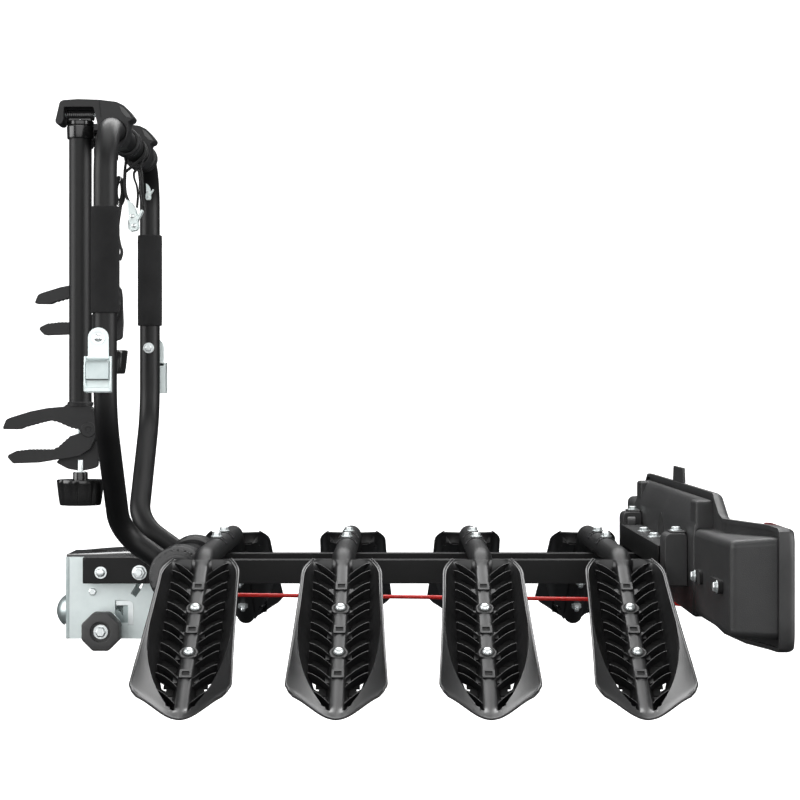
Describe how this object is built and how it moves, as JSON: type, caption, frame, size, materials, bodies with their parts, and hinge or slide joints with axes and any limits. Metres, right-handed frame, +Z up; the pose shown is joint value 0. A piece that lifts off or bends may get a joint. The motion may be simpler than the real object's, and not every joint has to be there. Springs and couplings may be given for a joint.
{
  "type": "hitch mounted bike rack",
  "caption": "Tow-ball bicycle carrier platform with sloping wheel trays, folding upright frame with clamp arms, tilt release and rear light board",
  "frame": {"origin": "centre of the tow ball that the coupling grips", "axes": "+X rearward away from the car, +Y to the car's right, +Z up"},
  "size_m": [1.071, 1.196, 0.8358],
  "materials": {
    "zinc_steel": "zinc plated, light blue-grey, satin",
    "grey_steel": "pressed steel, zinc plated, grey",
    "black_steel": "black powder coat, satin",
    "tray_plastic": "black moulded, semi-gloss",
    "board_plastic": "black moulded, fine leather grain",
    "hub_plastic": "black moulded, satin",
    "wheel_plastic": "dark grey moulded, matte",
    "claw_plastic": "dark grey moulded, satin",
    "knob_plastic": "black moulded, glossy",
    "foam": "black closed-cell foam, matte",
    "webbing": "black woven webbing",
    "red_plastic": "red plastic sheath",
    "red_lens": "red ribbed lamp lens"
  },
  "bodies": {
    "coupling": {"coupling_housing": "zinc_steel", "coupling_cover": "hub_plastic", "ball_cup": "grey_steel", "tilt_pivot_bolt": "zinc_steel"},
    "jaw_slider": {"ball_jaw": "grey_steel"},
    "clamp_wheel": {"clamp_screw": "zinc_steel", "hand_wheel": "wheel_plastic"},
    "pawl": {"latch_pawl": "zinc_steel"},
    "platform": {"rail_left": "black_steel", "rail_right": "black_steel", "rear_crossbeam": "black_steel", "pivot_axle": "zinc_steel", "hub_centre": "hub_plastic", "latch_pin": "zinc_steel", "wheel_tube_1": "black_steel", "wheel_tube_2": "black_steel", "wheel_tube_3": "black_steel", "wheel_tube_4": "black_steel", "tray_1_left": "tray_plastic", "tray_1_right": "tray_plastic", "tray_2_left": "tray_plastic", "tray_2_right": "tray_plastic", "tray_3_left": "tray_plastic", "tray_3_right": "tray_plastic", "tray_4_left": "tray_plastic", "tray_4_right": "tray_plastic", "board_bracket_left": "board_plastic", "board_bracket_right": "board_plastic", "board_shell": "board_plastic", "plate_panel": "board_plastic", "lamp_lens_left": "red_lens", "lamp_lens_right": "red_lens"},
    "release": {"release_cable": "red_plastic", "release_handle": "red_plastic"},
    "clip": {"plate_clip": "board_plastic"},
    "frame": {"u_frame": "black_steel", "hub_left": "hub_plastic", "hub_right": "hub_plastic", "foam_grip_left": "foam", "foam_grip_right": "foam", "leg_buckle_left": "zinc_steel", "leg_buckle_right": "zinc_steel", "bar_collar_left": "hub_plastic", "bar_collar_right": "hub_plastic", "strap_left": "webbing", "strap_right": "webbing"},
    "head_left": {"arm_head_left": "claw_plastic"},
    "arm_left": {"arm_left": "black_steel", "claw_left": "claw_plastic"},
    "claw_jaw_left": {"claw_jaw_left": "claw_plastic"},
    "claw_knob_left": {"claw_knob_left": "knob_plastic"},
    "hinge_knob_left": {"hinge_knob_left": "hub_plastic"},
    "buckle_lever_left": {"buckle_lever_left": "zinc_steel"},
    "head_right": {"arm_head_right": "claw_plastic"},
    "arm_right": {"arm_right": "black_steel", "claw_right": "claw_plastic"},
    "claw_jaw_right": {"claw_jaw_right": "claw_plastic"},
    "claw_knob_right": {"claw_knob_right": "knob_plastic"},
    "hinge_knob_right": {"hinge_knob_right": "hub_plastic"},
    "buckle_lever_right": {"buckle_lever_right": "zinc_steel"}
  },
  "joints": [
    {"name": "platform_tilt", "type": "hinge", "parent": "coupling", "child": "platform", "pos_m": [0.0507, 0, 0.0645], "axis": [0, 1, 0], "range_deg": [0, 35]},
    {"name": "frame_fold", "type": "hinge", "parent": "platform", "child": "frame", "pos_m": [0.172, 0, 0.064], "axis": [0, 1, 0], "range_deg": [0, 76]},
    {"name": "pawl_swing", "type": "hinge", "parent": "coupling", "child": "pawl", "pos_m": [0.062, 0, 0.044], "axis": [0, 1, 0], "range_deg": [0, 46]},
    {"name": "clamp_wheel_turn", "type": "hinge", "parent": "coupling", "child": "clamp_wheel", "pos_m": [0.0546, 0, -0.021], "axis": [0, 1, 0], "range_deg": [0, 1440]},
    {"name": "jaw_slide", "type": "slide", "parent": "coupling", "child": "jaw_slider", "axis": [1, 0, 0], "range_m": [0, 0.009]},
    {"name": "release_pull", "type": "slide", "parent": "platform", "child": "release", "axis": [1, 0, 0], "range_m": [0, 0.018], "stiffness_N_per_m": 900},
    {"name": "plate_clip_lift", "type": "hinge", "parent": "platform", "child": "clip", "pos_m": [0.928, 0, 0.1976], "axis": [0, 1, 0], "range_deg": [0, 60]},
    {"name": "hinge_knob_left_turn", "type": "hinge", "parent": "frame", "child": "hinge_knob_left", "pos_m": [0.172, -0.14, 0.064], "axis": [0, 1, 0], "range_deg": [0, 360]},
    {"name": "buckle_lever_left_lift", "type": "hinge", "parent": "frame", "child": "buckle_lever_left", "pos_m": [0.076, -0.2873, 0.3735], "axis": [1, 0, 0], "range_deg": [-80, 0]},
    {"name": "head_left_turn", "type": "hinge", "parent": "frame", "child": "head_left", "pos_m": [0.083, -0.148, 0.713], "axis": [0, 1, 0], "range_deg": [0, 180]},
    {"name": "arm_left_swivel", "type": "hinge", "parent": "head_left", "child": "arm_left", "pos_m": [0.0306, -0.148, 0.739], "axis": [1, 0, 0], "range_deg": [-45, 15]},
    {"name": "claw_left_close", "type": "hinge", "parent": "arm_left", "child": "claw_jaw_left", "pos_m": [0.044, -0.148, 0.2794], "axis": [0, 1, 0], "range_deg": [-8, 13]},
    {"name": "claw_left_knob_turn", "type": "hinge", "parent": "arm_left", "child": "claw_knob_left", "pos_m": [0.0306, -0.148, 0.19], "axis": [0, 0, 1], "range_deg": [-960, 1560]},
    {"name": "hinge_knob_right_turn", "type": "hinge", "parent": "frame", "child": "hinge_knob_right", "pos_m": [0.172, 0.14, 0.064], "axis": [0, 1, 0], "range_deg": [0, 360]},
    {"name": "buckle_lever_right_lift", "type": "hinge", "parent": "frame", "child": "buckle_lever_right", "pos_m": [0.09, 0.2873, 0.3735], "axis": [1, 0, 0], "range_deg": [0, 80]},
    {"name": "head_right_turn", "type": "hinge", "parent": "frame", "child": "head_right", "pos_m": [0.083, 0.119, 0.713], "axis": [0, 1, 0], "range_deg": [-100, 180]},
    {"name": "arm_right_swivel", "type": "hinge", "parent": "head_right", "child": "arm_right", "pos_m": [0.0306, 0.119, 0.739], "axis": [1, 0, 0], "range_deg": [-15, 45]},
    {"name": "claw_right_close", "type": "hinge", "parent": "arm_right", "child": "claw_jaw_right", "pos_m": [0.044, 0.119, 0.4744], "axis": [0, 1, 0], "range_deg": [-8, 13]},
    {"name": "claw_right_knob_turn", "type": "hinge", "parent": "arm_right", "child": "claw_knob_right", "pos_m": [0.0306, 0.119, 0.385], "axis": [0, 0, 1], "range_deg": [-960, 1560]}
  ],
  "couplings": [
    {"joint": "pawl_swing", "follows": "platform_tilt", "ratio": 1.3},
    {"joint": "jaw_slide", "follows": "clamp_wheel_turn", "m_per_rad": 0.000318},
    {"joint": "claw_left_knob_turn", "follows": "claw_left_close", "ratio": 120},
    {"joint": "claw_right_knob_turn", "follows": "claw_right_close", "ratio": 120}
  ]
}
